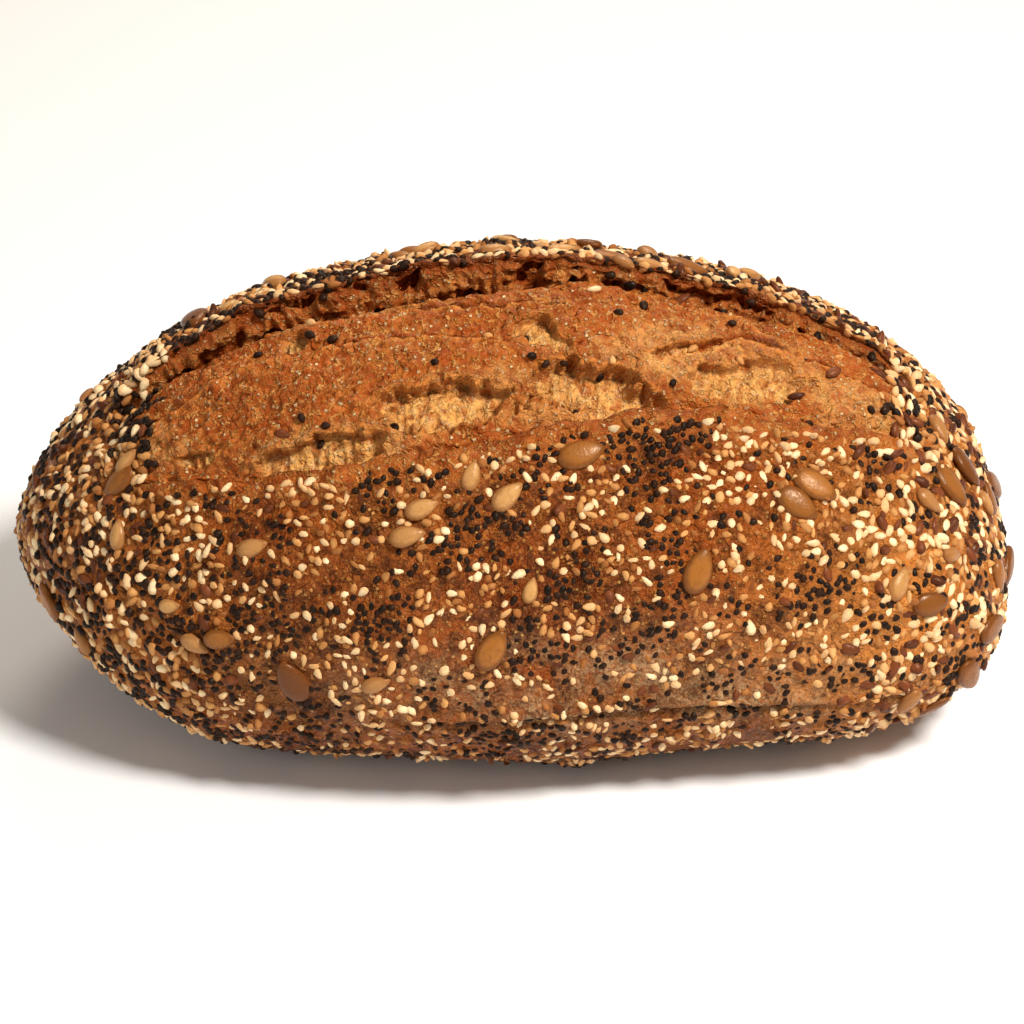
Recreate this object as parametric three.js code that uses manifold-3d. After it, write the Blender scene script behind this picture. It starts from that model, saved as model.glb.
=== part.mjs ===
// A seeded sourdough batard, baked in one piece: a plump oval loaf with a flat underside, scored once
// along its crown. The score has opened into a wide bloom. Behind the bloom the cut crust stands up as
// an ear that overhangs a groove, and in front of it the crust ends in a low lip with torn pockets.
//
// Millimetres, +Z up. X runs along the loaf and the origin is on the underside, below its middle.
// A point of the crust is named by two numbers: "along", from -1 at the left tip to 1 at the right tip,
// and "turn", the angle round the section in degrees, 0 at the crown and negative on the front (-Y).
import * as THREE from "three";
import { mergeVertices } from "three/addons/utils/BufferGeometryUtils.js";
import Module from "manifold-3d";

// The size of the risen dough. The ear stands a little above it.
const LENGTH = 268;
const WIDTH = 156;
const HEIGHT = 118;

// The section: its widest level above the table, and how much dough the oven floor has flattened.
const GIRTH_HEIGHT = 42;
const FLATTENED = 5;
const CROWN_POWER = 2; // an ellipse above the girth
const UNDERSIDE_POWER = 2.45; // squarer below it

// Each end tapers in its own way: a high power keeps the plan, the crown or the underside full for
// longer, and a high round blunts its tip. tipHeight is the tip's level, and lift is how far the
// underside curls up there.
const LEFT_END = {
  planPower: 2.75, planRound: 1.63, crownPower: 1.9, crownRound: 1.62, solePower: 8, tipHeight: 45, lift: 33,
};
const RIGHT_END = {
  planPower: 4.3, planRound: 3, crownPower: 1.6, crownRound: 2.9, solePower: 5, tipHeight: 32, lift: 6,
};

// Slow swellings that keep the crust from being a perfect oval.
const SWELL_HEIGHT = 0.6;
const SWELLS = [
  { along: 1.3, turn: 1, phase: 3.5 },
  { along: 2.3, turn: 2, phase: 5.2 },
  { along: 3.1, turn: 3, phase: 1.3 },
];

// The score runs from one "along" to the other. Its back edge is the ear and its front edge the lip.
const SCORE_START = -0.8;
const SCORE_END = 0.82;
const SCORE_BLUNTNESS = 0.3; // low values hold the score wide until close to its ends
const SCORE_NARROWEST = 0.3; // its width at the ends, where it fades into the crust
const SCORE_FADES_OVER = 0.3;
const SCORE_ENDS_AT = -20; // the turn its two edges run together towards
const EAR_TURN = 1;
const LIP_TURN_LEFT = -49;
const LIP_TURN_RIGHT = -37;
const LIP_CLIMBS_OVER = 0.5; // the lip changes from one turn to the other within this much of the middle

const EAR_LIFT = 4.5; // the ear's edge above the crust's own curve
const EAR_REACH = 14; // how far back the lift dies away
const EAR_OVERHANG = 4.5; // how far the edge leans out over the groove
const GROOVE_DEPTH = 9;
const GROOVE_WIDTH = 15;
const GROOVE_WALL = 4; // the part of the width that its steep back wall takes
const LIP_LIFT = 1.6;
const LIP_REACH = 7;
const LIP_WALL = 1;
const LIP_STEP = 2.6; // the bloom comes out from under the lip this much lower
const LIP_STEP_WIDTH = 9;
const BLOOM_RISE = 2.2; // the bloom swells above the crust's own curve

// Pockets torn in the bloom: centre, length along the loaf, height round it, depth and slant in degrees.
const POCKETS = [
  { along: 0.15, turn: -33, length: 34, height: 16, depth: 5, slant: 8 },
  { along: -0.13, turn: -36, length: 46, height: 16, depth: 5, slant: 0 },
  { along: -0.36, turn: -43, length: 30, height: 11, depth: 3.5, slant: -6 },
  { along: 0.41, turn: -26, length: 40, height: 16, depth: 4, slant: -14 },
  { along: 0.04, turn: -21, length: 17, height: 14, depth: 3, slant: 0 },
];
const POCKET_FLOOR = 0.2; // the share of a pocket that is at its full depth
const POCKET_RIM = 1.05;

// How finely the surface is cut up: steps along the loaf, and round it from the lip back to the lip.
const STEPS_ALONG = 64;
const LIP_WALL_STEPS = 1;
const BLOOM_STEPS = 17;
const GROOVE_WALL_STEPS = 2;
const EAR_STEPS = 4;
const SIDE_STEPS = 40;
const LIP_STEPS = 4;

const FULL_TURN = 360;
const STANDS_IN_FOR_TIP = 0.995; // the last "along" whose crust has a well-defined slope
const SLOPE_STEP = 0.0025;
const SAME_POINT = 1e-3;

const radians = THREE.MathUtils.degToRad;
const { smoothstep, lerp, clamp } = THREE.MathUtils;
const MM_PER_DEGREE = radians((WIDTH / 2 + HEIGHT - GIRTH_HEIGHT) / 2); // arc length over the crown

const signedPower = (value, power) => Math.sign(value) * Math.abs(value) ** power;
const taper = (away, power, round) => Math.max(1 - away ** power, 0) ** (1 / round);

// The section's half width, its girth level, and how far the crown and the underside are from it.
function sectionAt(along) {
  const end = along < 0 ? LEFT_END : RIGHT_END;
  const away = Math.abs(along);
  const girth = lerp(GIRTH_HEIGHT, end.tipHeight, away ** 2);
  const underside = end.lift * away ** 4 - FLATTENED;
  return {
    halfWidth: (WIDTH / 2) * taper(away, end.planPower, end.planRound),
    girth,
    crown: (HEIGHT - GIRTH_HEIGHT) * taper(away, end.crownPower, end.crownRound),
    sole: (girth - underside) * taper(away, end.solePower, 2),
  };
}

// The crust's own curve, before the score opened.
function skin(along, turn) {
  const { halfWidth, girth, crown, sole } = sectionAt(along);
  const across = Math.sin(radians(turn));
  const up = Math.cos(radians(turn));
  const power = 2 / (up > 0 ? CROWN_POWER : UNDERSIDE_POWER);
  const z = girth + (up > 0 ? crown : sole) * signedPower(up, power);
  return new THREE.Vector3((along * LENGTH) / 2, halfWidth * signedPower(across, power), z);
}

function swell(along, turn) {
  const waves = SWELLS.map((s) => Math.sin(s.along * Math.PI * along + s.turn * radians(turn) + s.phase));
  return SWELL_HEIGHT * waves.reduce((sum, wave) => sum + wave) * (1 - along ** 2);
}

// The turns of the ear and the lip at one place, and how far open the score is there, from 0 to 1.
function scoreAt(along) {
  const half = (SCORE_END - SCORE_START) / 2;
  const lens = Math.max(((along - SCORE_START) * (SCORE_END - along)) / half ** 2, 0);
  const spread = lerp(SCORE_NARROWEST, 1, lens ** SCORE_BLUNTNESS);
  const climb = smoothstep(along, -LIP_CLIMBS_OVER, LIP_CLIMBS_OVER);
  return {
    ear: lerp(SCORE_ENDS_AT, EAR_TURN, spread),
    lip: lerp(SCORE_ENDS_AT, lerp(LIP_TURN_LEFT, LIP_TURN_RIGHT, climb), spread),
    open: smoothstep(lens, 0, SCORE_FADES_OVER),
  };
}

// Between the lip and the ear: how far the bloom moves outwards, given its distance from both in mm.
function bloomMove(pastLip, beforeEar) {
  const wall = clamp(beforeEar / GROOVE_WALL, 0, 1);
  const rise = smoothstep(beforeEar, GROOVE_WALL, GROOVE_WIDTH);
  const swelling = BLOOM_RISE * Math.sin((Math.PI * pastLip) / (pastLip + beforeEar)) * rise;
  const step = LIP_STEP * (1 - smoothstep(pastLip, 0, LIP_STEP_WIDTH));
  const bloom = lerp(EAR_LIFT, swelling - step - GROOVE_DEPTH * (1 - rise), wall);
  return lerp(LIP_LIFT, bloom, clamp(pastLip / LIP_WALL, 0, 1));
}

// How far the open score moves a point outwards, and how far forwards round the section, in mm.
function scoreMove(along, turn) {
  const { ear, lip, open } = scoreAt(along);
  const pastEar = (turn - ear) * MM_PER_DEGREE;
  const pastLip = (turn - lip) * MM_PER_DEGREE;
  if (pastEar >= 0) {
    const nearEar = open * Math.exp(-pastEar / EAR_REACH);
    return { out: EAR_LIFT * nearEar, forward: EAR_OVERHANG * nearEar };
  }
  if (pastLip <= 0) {
    return { out: LIP_LIFT * open * Math.exp(pastLip / LIP_REACH), forward: 0 };
  }
  return {
    out: open * bloomMove(pastLip, -pastEar),
    forward: open * EAR_OVERHANG * clamp(1 + pastEar / GROOVE_WALL, 0, 1),
  };
}

// How deep the torn pockets are at a point, in mm.
function pocketDepth(along, turn) {
  const depths = POCKETS.map((pocket) => {
    const x = ((along - pocket.along) * LENGTH) / 2;
    const y = (turn - pocket.turn) * MM_PER_DEGREE;
    const slant = radians(pocket.slant);
    const lengthwise = (x * Math.cos(slant) - y * Math.sin(slant)) / (pocket.length / 2);
    const upwards = (x * Math.sin(slant) + y * Math.cos(slant)) / (pocket.height / 2);
    return pocket.depth * (1 - smoothstep(Math.hypot(lengthwise, upwards), POCKET_FLOOR, POCKET_RIM));
  });
  return Math.max(...depths);
}

// A point of the finished crust.
function crust(along, turn) {
  const inside = clamp(along, -STANDS_IN_FOR_TIP, STANDS_IN_FOR_TIP);
  const lengthwise = skin(inside + SLOPE_STEP, turn).sub(skin(inside - SLOPE_STEP, turn));
  const round = skin(inside, turn + SLOPE_STEP).sub(skin(inside, turn - SLOPE_STEP)).normalize();
  const outwards = new THREE.Vector3().crossVectors(lengthwise, round).normalize();
  const { out, forward } = scoreMove(along, turn);
  return skin(along, turn)
    .addScaledVector(outwards, out + swell(along, turn) - pocketDepth(along, turn))
    .addScaledVector(round, -forward);
}

// The turns of one section's points, from the lip over the crown and under the loaf back to the lip.
// They follow the ear and the lip, so that both stay clean edges.
function turnsAt(along) {
  const { ear, lip } = scoreAt(along);
  const bands = [
    { to: lip + LIP_WALL / MM_PER_DEGREE, steps: LIP_WALL_STEPS },
    { to: ear - GROOVE_WALL / MM_PER_DEGREE, steps: BLOOM_STEPS },
    { to: ear, steps: GROOVE_WALL_STEPS },
    { to: ear + EAR_REACH / MM_PER_DEGREE, steps: EAR_STEPS },
    { to: lip + FULL_TURN - (2 * LIP_REACH) / MM_PER_DEGREE, steps: SIDE_STEPS },
    { to: lip + FULL_TURN, steps: LIP_STEPS },
  ];
  return bands.reduce((turns, { to, steps }) => {
    const from = turns.at(-1);
    return turns.concat(Array.from({ length: steps }, (_, i) => lerp(from, to, (i + 1) / steps)));
  }, [lip]);
}

// A ball with its poles at the tips, its points moved to the crust.
function risenDough() {
  const stepsRound =
    LIP_WALL_STEPS + BLOOM_STEPS + GROOVE_WALL_STEPS + EAR_STEPS + SIDE_STEPS + LIP_STEPS;
  const ball = new THREE.SphereGeometry(1, stepsRound, STEPS_ALONG);
  const position = ball.getAttribute("position");
  for (let i = 0; i < position.count; i += 1) {
    const ring = Math.floor(i / (stepsRound + 1));
    const along = -Math.cos((Math.PI * (STEPS_ALONG - ring)) / STEPS_ALONG);
    const turn = turnsAt(along)[stepsRound - (i % (stepsRound + 1))];
    const signedTurn = turn > FULL_TURN / 2 ? turn - FULL_TURN : turn;
    position.setXYZ(i, ...crust(along, signedTurn).toArray());
  }
  return ball;
}

// The oven floor: everything below the underside.
function ovenFloor() {
  return new THREE.BoxGeometry(2 * LENGTH, 2 * WIDTH, HEIGHT).translate(0, 0, -HEIGHT / 2);
}

function solid(wasm, geometry) {
  const bare = new THREE.BufferGeometry()
    .setAttribute("position", geometry.getAttribute("position"))
    .setIndex(geometry.index);
  const merged = mergeVertices(bare, SAME_POINT);
  return new wasm.Manifold(new wasm.Mesh({
    numProp: 3,
    vertProperties: merged.getAttribute("position").array,
    triVerts: new Uint32Array(merged.index.array),
  }));
}

function shown(body) {
  const mesh = body.getMesh();
  return new THREE.BufferGeometry()
    .setAttribute("position", new THREE.BufferAttribute(mesh.vertProperties, 3))
    .setIndex(new THREE.BufferAttribute(mesh.triVerts, 1))
    .toNonIndexed();
}

const wasm = await Module();
wasm.setup();

const baked = solid(wasm, risenDough()).subtract(solid(wasm, ovenFloor()));
const geometry = shown(baked);
geometry.computeBoundingBox();
const { min, max } = geometry.boundingBox;
geometry.translate(-(min.x + max.x) / 2, -(min.y + max.y) / 2, -min.z);
geometry.computeVertexNormals();

const loaf = new THREE.Mesh(
  geometry,
  new THREE.MeshStandardMaterial({ color: 0xb06a2c, roughness: 0.6, metalness: 0 }),
);
loaf.name = "loaf";

const group = new THREE.Group();
group.add(loaf);

export default group;
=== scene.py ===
"""A seeded sourdough batard: one baked crust with an open score, and the seeds pressed into it.

A point of the crust is named by two numbers: "along", from -1 at the left tip to 1 at the right tip,
and "turn", the angle round the section in degrees, 0 at the crown and negative on the front (-Y).
The crust is worked out in millimetres and put into its mesh in metres.
"""

import itertools
import math

import bmesh
import bpy
import numpy as np
from mathutils import Matrix, Vector, noise


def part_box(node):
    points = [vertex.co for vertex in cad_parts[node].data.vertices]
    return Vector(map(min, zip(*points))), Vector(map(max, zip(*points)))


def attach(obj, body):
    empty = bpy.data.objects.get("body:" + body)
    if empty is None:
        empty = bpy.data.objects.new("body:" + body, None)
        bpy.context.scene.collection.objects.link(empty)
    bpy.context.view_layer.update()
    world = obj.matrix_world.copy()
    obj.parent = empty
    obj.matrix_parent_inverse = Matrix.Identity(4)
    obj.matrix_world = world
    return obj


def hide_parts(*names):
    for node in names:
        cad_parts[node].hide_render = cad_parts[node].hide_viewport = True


bl_info = {
    "name": "Seeded Sourdough Loaf",
    "version": (1, 0, 0),
    "blender": (4, 5, 0),
    "location": "3D View > Sidebar > Loaf",
    "description": "Bakes a scored sourdough loaf and scatters seeds over its crust",
    "category": "Add Mesh",
}

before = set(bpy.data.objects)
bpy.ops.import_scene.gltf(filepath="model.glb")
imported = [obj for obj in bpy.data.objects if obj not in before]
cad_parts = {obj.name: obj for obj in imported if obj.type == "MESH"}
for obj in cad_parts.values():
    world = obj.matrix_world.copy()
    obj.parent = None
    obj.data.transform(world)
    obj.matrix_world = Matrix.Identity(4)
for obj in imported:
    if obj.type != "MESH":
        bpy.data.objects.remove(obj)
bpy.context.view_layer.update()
LOW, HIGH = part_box("loaf")
MM = 0.001

# The section and the ends, as in the part's own shape, in millimetres.
GIRTH_HEIGHT = 42
FLATTENED = 5
CROWN_POWER = 2
UNDERSIDE_POWER = 2.45
ENDS = {  # each for the left end and for the right end
    "plan_power": (2.75, 4.3), "plan_round": (1.63, 3), "crown_power": (1.9, 1.6),
    "crown_round": (1.62, 2.9), "sole_power": (8, 5), "tip_height": (45, 32), "lift": (33, 6),
}
SWELL_HEIGHT = 0.6
SWELLS = ((1.3, 1, 3.5), (2.3, 2, 5.2), (3.1, 3, 1.3))  # waves along, waves round, phase

# The score: where it runs, and the turns of its back edge, the ear, and of its front edge, the lip.
SCORE_START = -0.8
SCORE_END = 0.82
SCORE_BLUNTNESS = 0.3
SCORE_NARROWEST = 0.3
SCORE_FADES_OVER = 0.3
SCORE_ENDS_AT = -20
EAR_TURN = 1
LIP_TURN_LEFT = -49
LIP_TURN_RIGHT = -37
LIP_CLIMBS_OVER = 0.5

EAR_LIFT = 4.5
EAR_RAISED = 5.3  # with the curl that the ear took on above its own lift
EAR_REACH = 14
EAR_OVERHANG = 4.5
GROOVE_DEPTH = 9
GROOVE_WIDTH = 15
GROOVE_WALL = 4
GROOVE_FLOOR = 7.5
NARROWER_RIGHT = 0.4  # how much narrower the groove is right of the middle
BLOOM_SAG = 2.2
BLOOM_SAG_REACH = 9
LIP_LIFT = 1.6
LIP_REACH = 7
LIP_WALL = 1
LIP_STEP = 2.6
LIP_STEP_WIDTH = 9
BLOOM_RISE = 2.2

# Places where crumb bridges the groove: along, half width along, share of the depth it fills.
BRIDGES = ((-0.1, 0.05, 0.5), (0.13, 0.07, 0.8), (0.27, 0.04, 0.5), (-0.47, 0.05, 0.4), (0.5, 0.25, 0.35))

# Torn edges in the bloom: along from and to, distance in front of the ear there, and height.
FLAPS = (
    (-0.74, -0.08, 9, 9.5, 2.2),
    (-0.16, 0.18, 8, 7.5, 1.7),
    (0.14, 0.78, 7, 6.5, 1.9),
    (-0.45, 0.02, 27, 34, 1.5),
    (-0.75, -0.35, 30, 27, 1.3),
    (0.28, 0.62, 17, 27, 2.0),
    (-0.3, 0.1, 19, 22, 1.0),
    (0.3, 0.75, 30, 20, 1.1),
)

# Pockets torn in the bloom: along, turn, length, height, depth in millimetres and slant in degrees.
POCKETS = (
    (0.15, -33, 33, 17, 6, 8),
    (-0.13, -35.5, 38, 13, 5.2, 0),
    (-0.38, -43, 32, 12, 3.5, -8),
    (0.42, -27, 32, 13, 3.4, -14),
    (0.31, -22, 22, 4.5, 3, -22),
    (0.04, -21, 15, 11, 3.5, 30),
    (0.06, -13.5, 10, 3.5, 3, 0),
    (-0.41, -15, 7, 8, 4, 30),
    (-0.61, -38, 9, 6, 2.5, 0),
    (-0.2, -12, 9, 4, 2, -20),
)

# Zones where the bloom was pulled thin and stayed paler: along, turn, length, height and how much.
STRETCHED = (
    (0.38, -24, 62, 22, 0.6), (-0.36, -42, 48, 12, 0.55), (0.66, -26, 36, 20, 0.45),
    (-0.05, -31, 30, 8, 0.4), (-0.7, -33, 20, 16, 0.5), (-0.38, -10, 60, 6, 0.5), (0.1, -38, 60, 6, 0.4),
)

# The bloom is a piece of its own, laid in the opening and tucked under the crust all round.
TUCK = 1.4
SUNK = 4
SKIRT = (0, 8, -26)  # from the bloom's rim to its hidden underside, which must clear the groove
EAR_EDGE = 0.5
WALL_SUNK = 5
JOINS_FROM = 0.1
JOINS_TO = 0.35

# The seam low on the front where the dough was folded: its turn, and where it starts and ends.
FOLD_TURN = -99
FOLD_START = -0.35
FOLD_END = 0.75
FOLD_DEPTH = 1.6

# How finely the crust's mesh is cut up: rings along the loaf, and steps round each band of the section.
RINGS = 280
LIP_WALL_STEPS = 3
BLOOM_STEPS = 36
GROOVE_WALL_STEPS = 4
EAR_EDGE_STEPS = 2
EAR_STEPS = 28
SIDE_STEPS = 252
LIP_STEPS = 22
BLOOM_LENGTHWISE = 460
BLOOM_ACROSS = 205
WALL_FROM = 0.8  # the rest of the bloom's rows are on the groove's back wall
DEEP_SHADE = (0.05, 0.012, 0.002)  # painted shade: the colour put in the deepest tears and down the groove
PALEST = (0.95, 0.66, 0.33)  # the colour of the painted glints in the bloom's skin, and of the finest pale curls in the torn crumb
GLAZED = (0.19, 0.03, 0.004)  # the colour of the thin edges round the score
FLOOR_SHADE = (0.9, 0.9, 0.9)
FLOOR_SIZE = 6
LENS = 89.7
AIM_HEIGHT = 0.05  # the lights and the camera aim at this height, the camera a little lower and to the right
AIM_LOWER = 0.00365
AIM_RIGHT = 0.0007
SOLE_SHRINKS = 22  # degrees by which the bare sole narrows at each tip
FULL_TURN = 360
TIP_STAND_IN = 0.995
SLOPE_STEP = 0.0025
WALK_STEPS = 4001
NOISE_SHIFT = 17.3  # how far apart the places are where two noises are taken
RIDGE_SHARPNESS = 2.2
TOO_FAR = 1e6
NEVER = 1e9  # a noise size so large that the noise doesn't change along that axis


def linear(red, green, blue):
    """A screen colour, 0 to 255, as the linear colour that a shader takes."""
    return tuple(
        (c / 12.92 if c <= 0.04045 else ((c + 0.055) / 1.055) ** 2.4)
        for c in (red / 255, green / 255, blue / 255)
    )


def colour_prop(name, description, *screen_colour):
    return bpy.props.FloatVectorProperty(
        name=name, description=description, subtype="COLOR", size=3, min=0, max=1,
        default=linear(*screen_colour),
    )


def length_prop(name, description, default):
    return bpy.props.FloatProperty(
        name=name, description=description, default=default, min=0, subtype="DISTANCE", unit="LENGTH"
    )


class LoafCrust(bpy.types.PropertyGroup):
    """The baked crust."""

    length: length_prop("Length", "Tip to tip", HIGH.x - LOW.x)
    width: length_prop("Width", "Across the middle", HIGH.y - LOW.y - 2 * SWELL_HEIGHT * MM)
    height: length_prop("Height", "Of the dough beside the ear", HIGH.z - LOW.z - EAR_LIFT * MM)
    browned: colour_prop("Browned", "The crust where it baked darkest", 60, 17, 1)
    baked: colour_prop("Baked", "The crust's own brown", 137, 57, 8)
    golden: colour_prop("Golden", "The crust where it stayed palest", 214, 132, 58)
    bloom: colour_prop("Bloom", "The skin that opened under the score", 160, 72, 20)
    crumb: colour_prop("Crumb", "The stretched crumb in the torn pockets", 232, 170, 92)
    flour: colour_prop("Flour", "Flour left on the lower crust", 186, 148, 106)


class LoafSeeds(bpy.types.PropertyGroup):
    """The seeds on the crust."""

    amount: bpy.props.FloatProperty(
        name="Amount", description="Share of the full cover of seeds",
        default=1, min=0, max=1, subtype="FACTOR",
    )
    seed: bpy.props.IntProperty(name="Scatter", description="Which scatter of seeds", default=7, min=0)
    pale: colour_prop("Pale sesame", "Hulled sesame", 251, 224, 176)
    toasted: colour_prop("Toasted sesame", "Sesame that browned in the oven", 210, 150, 86)
    black: colour_prop("Black sesame", "Black sesame", 15, 9, 7)
    flax: colour_prop("Flax", "Brown flax", 122, 64, 34)
    sunflower: colour_prop("Sunflower", "Shelled sunflower kernels", 212, 160, 96)
    pumpkin: colour_prop("Pumpkin", "Shelled pumpkin seeds", 170, 106, 44)


class LoafStage(bpy.types.PropertyGroup):
    """The floor, lights and camera round the loaf."""

    floor: colour_prop("Floor", "The plain floor", 250, 250, 250)
    distance: length_prop("Camera distance", "From the loaf's middle", 0.7)
    elevation: bpy.props.FloatProperty(
        name="Elevation", description="Camera's height angle", default=math.radians(30), subtype="ANGLE"
    )
    swing: bpy.props.FloatProperty(
        name="Swing", description="Camera's angle round the loaf",
        default=math.radians(-3.7), subtype="ANGLE",
    )


# Small sums on arrays


def ramp(value, low, high):
    """Rises smoothly from 0 at low to 1 at high."""
    share = np.clip((value - low) / (high - low), 0, 1)
    return share * share * (3 - 2 * share)


def hill(distance, width):
    """1 at no distance, falling smoothly to nothing on both sides."""
    return np.exp(-((distance / width) ** 2))


def fade(distance, reach):
    """1 up to no distance, dying away beyond it."""
    return np.exp(-np.maximum(distance, 0) / reach)


def lerp(start, end, share):
    return start + (end - start) * share


def unit(vectors):
    return vectors / np.maximum(np.linalg.norm(vectors, axis=-1, keepdims=True), 1e-9)


def lumps(points, size, seed):
    """Soft noise from -1 to 1 at each point, its lumps about size across. size may differ by axis."""
    return np.array([noise.noise(p) for p in points / np.asarray(size, float) + seed * NOISE_SHIFT])


def ridges(points, size, seed):
    """Noise from 0 to 1 whose crests are thin, wandering ridges."""
    return (1 - np.abs(lumps(points, size, seed)) * RIDGE_SHARPNESS).clip(0, 1)


# The loaf's shape


class Dough:
    """The loaf's own curve and its score, worked out for whole arrays of along and turn."""

    def __init__(self, sizes):
        self.length, self.width, self.height = (s / MM for s in (sizes.length, sizes.width, sizes.height))
        self.per_degree = math.radians((self.width / 2 + self.height - GIRTH_HEIGHT) / 2)

    def section(self, along):
        away = np.abs(along)

        def by_end(key):
            return np.where(along < 0, *ENDS[key])

        def taper(power, round_):
            return np.maximum(1 - away ** by_end(power), 0) ** (1 / round_)

        girth = lerp(GIRTH_HEIGHT, by_end("tip_height"), away**2)
        underside = by_end("lift") * away**4 - FLATTENED
        half_width = self.width / 2 * taper("plan_power", by_end("plan_round"))
        crown = (self.height - GIRTH_HEIGHT) * taper("crown_power", by_end("crown_round"))
        return half_width, girth, crown, (girth - underside) * taper("sole_power", 2)

    def skin(self, along, turn):
        half_width, girth, crown, sole = self.section(along)
        across, up = np.sin(np.radians(turn)), np.cos(np.radians(turn))
        power = np.where(up > 0, 2 / CROWN_POWER, 2 / UNDERSIDE_POWER)
        y = half_width * np.sign(across) * np.abs(across) ** power
        z = girth + np.where(up > 0, crown, sole) * np.sign(up) * np.abs(up) ** power
        return np.stack([along * self.length / 2, y, z], -1)

    def directions(self, along, turn):
        """Unit vectors out of the crust and round it, towards larger turns."""
        inside = np.clip(along, -TIP_STAND_IN, TIP_STAND_IN)
        lengthwise = self.skin(inside + SLOPE_STEP, turn) - self.skin(inside - SLOPE_STEP, turn)
        round_ = unit(self.skin(inside, turn + SLOPE_STEP) - self.skin(inside, turn - SLOPE_STEP))
        return unit(np.cross(lengthwise, round_)), round_

    def swell(self, along, turn):
        waves = sum(np.sin(a * np.pi * along + t * np.radians(turn) + p) for a, t, p in SWELLS)
        return SWELL_HEIGHT * waves * (1 - along**2)

    def score(self, along):
        """The ear's turn, the lip's turn and how open the score is, with the edges' natural wander."""
        half = (SCORE_END - SCORE_START) / 2
        lens = np.maximum((along - SCORE_START) * (SCORE_END - along) / half**2, 0)
        spread = lerp(SCORE_NARROWEST, 1, lens**SCORE_BLUNTNESS)
        climb = ramp(along, -LIP_CLIMBS_OVER, LIP_CLIMBS_OVER)
        line = np.stack([along * self.length / 2, 0 * along, 0 * along], -1)
        ear_wander = 1.0 * lumps(line, 26, 1) + 0.5 * lumps(line, 6, 2) + 0.25 * lumps(line, 2.2, 3)
        lip_wander = 2.2 * lumps(line, 31, 4) + 1.1 * lumps(line, 9, 5) + 0.5 * lumps(line, 3, 6)
        ear = lerp(SCORE_ENDS_AT, EAR_TURN, spread) + ear_wander
        lip = lerp(SCORE_ENDS_AT, lerp(LIP_TURN_LEFT, LIP_TURN_RIGHT, climb), spread) + lip_wander
        return ear, lip, ramp(lens, 0, SCORE_FADES_OVER)

    def rings(self, share):
        """The along of each ring, spaced evenly over the crust from tip to tip."""
        return np.interp(share, *self.walk())

    def walked(self, along):
        """The share of the way over the crust from tip to tip at each along."""
        return np.interp(along, *reversed(self.walk()))

    def walk(self):
        along = -np.cos(np.linspace(0, np.pi, WALK_STEPS))
        half_width, _, crown, _ = self.section(along)
        steps = np.hypot(np.diff(along * self.length / 2), np.diff((half_width + crown) / 2))
        walked = np.concatenate([[0], np.cumsum(steps)])
        return walked / walked[-1], along

    def turns(self, along, step):
        """The turn of each point from its step round the ring. The steps follow the ear and the lip."""
        ear, lip, _ = self.score(along)
        bands = (
            (lip + LIP_WALL / self.per_degree, LIP_WALL_STEPS),
            (ear - GROOVE_WALL / self.per_degree, BLOOM_STEPS),
            (ear - EAR_EDGE / self.per_degree, GROOVE_WALL_STEPS),
            (ear, EAR_EDGE_STEPS),
            (ear + EAR_REACH / self.per_degree, EAR_STEPS),
            (lip + FULL_TURN - 2 * LIP_REACH / self.per_degree, SIDE_STEPS),
            (lip + FULL_TURN, LIP_STEPS),
        )
        turn, begin, first = lip.copy(), lip, 0
        for end, steps in bands:
            here = (step >= first) & (step < first + steps)
            turn[here] = lerp(begin, end, (step - first) / steps)[here]
            begin, first = end, first + steps
        return np.where(turn > FULL_TURN / 2, turn - FULL_TURN, turn)


STEPS_ROUND = sum((
    LIP_WALL_STEPS, BLOOM_STEPS, GROOVE_WALL_STEPS, EAR_EDGE_STEPS, EAR_STEPS, SIDE_STEPS, LIP_STEPS
))


def offsets(points, along, turn):
    """How far points are from a place named by along and turn: lengthwise and round the section, in mm."""
    return (points.along - along) * points.dough.length / 2, (points.turn - turn) * points.dough.per_degree


# What the oven did to each point of the crust, and where shade is painted into its hollows, each from 0 to 1.
# The crust's material reads these.
MARKS = ("bloom", "hollow", "crumb", "rim", "curl", "flour", "fold_line", "bake", "crest", "sole")


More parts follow.
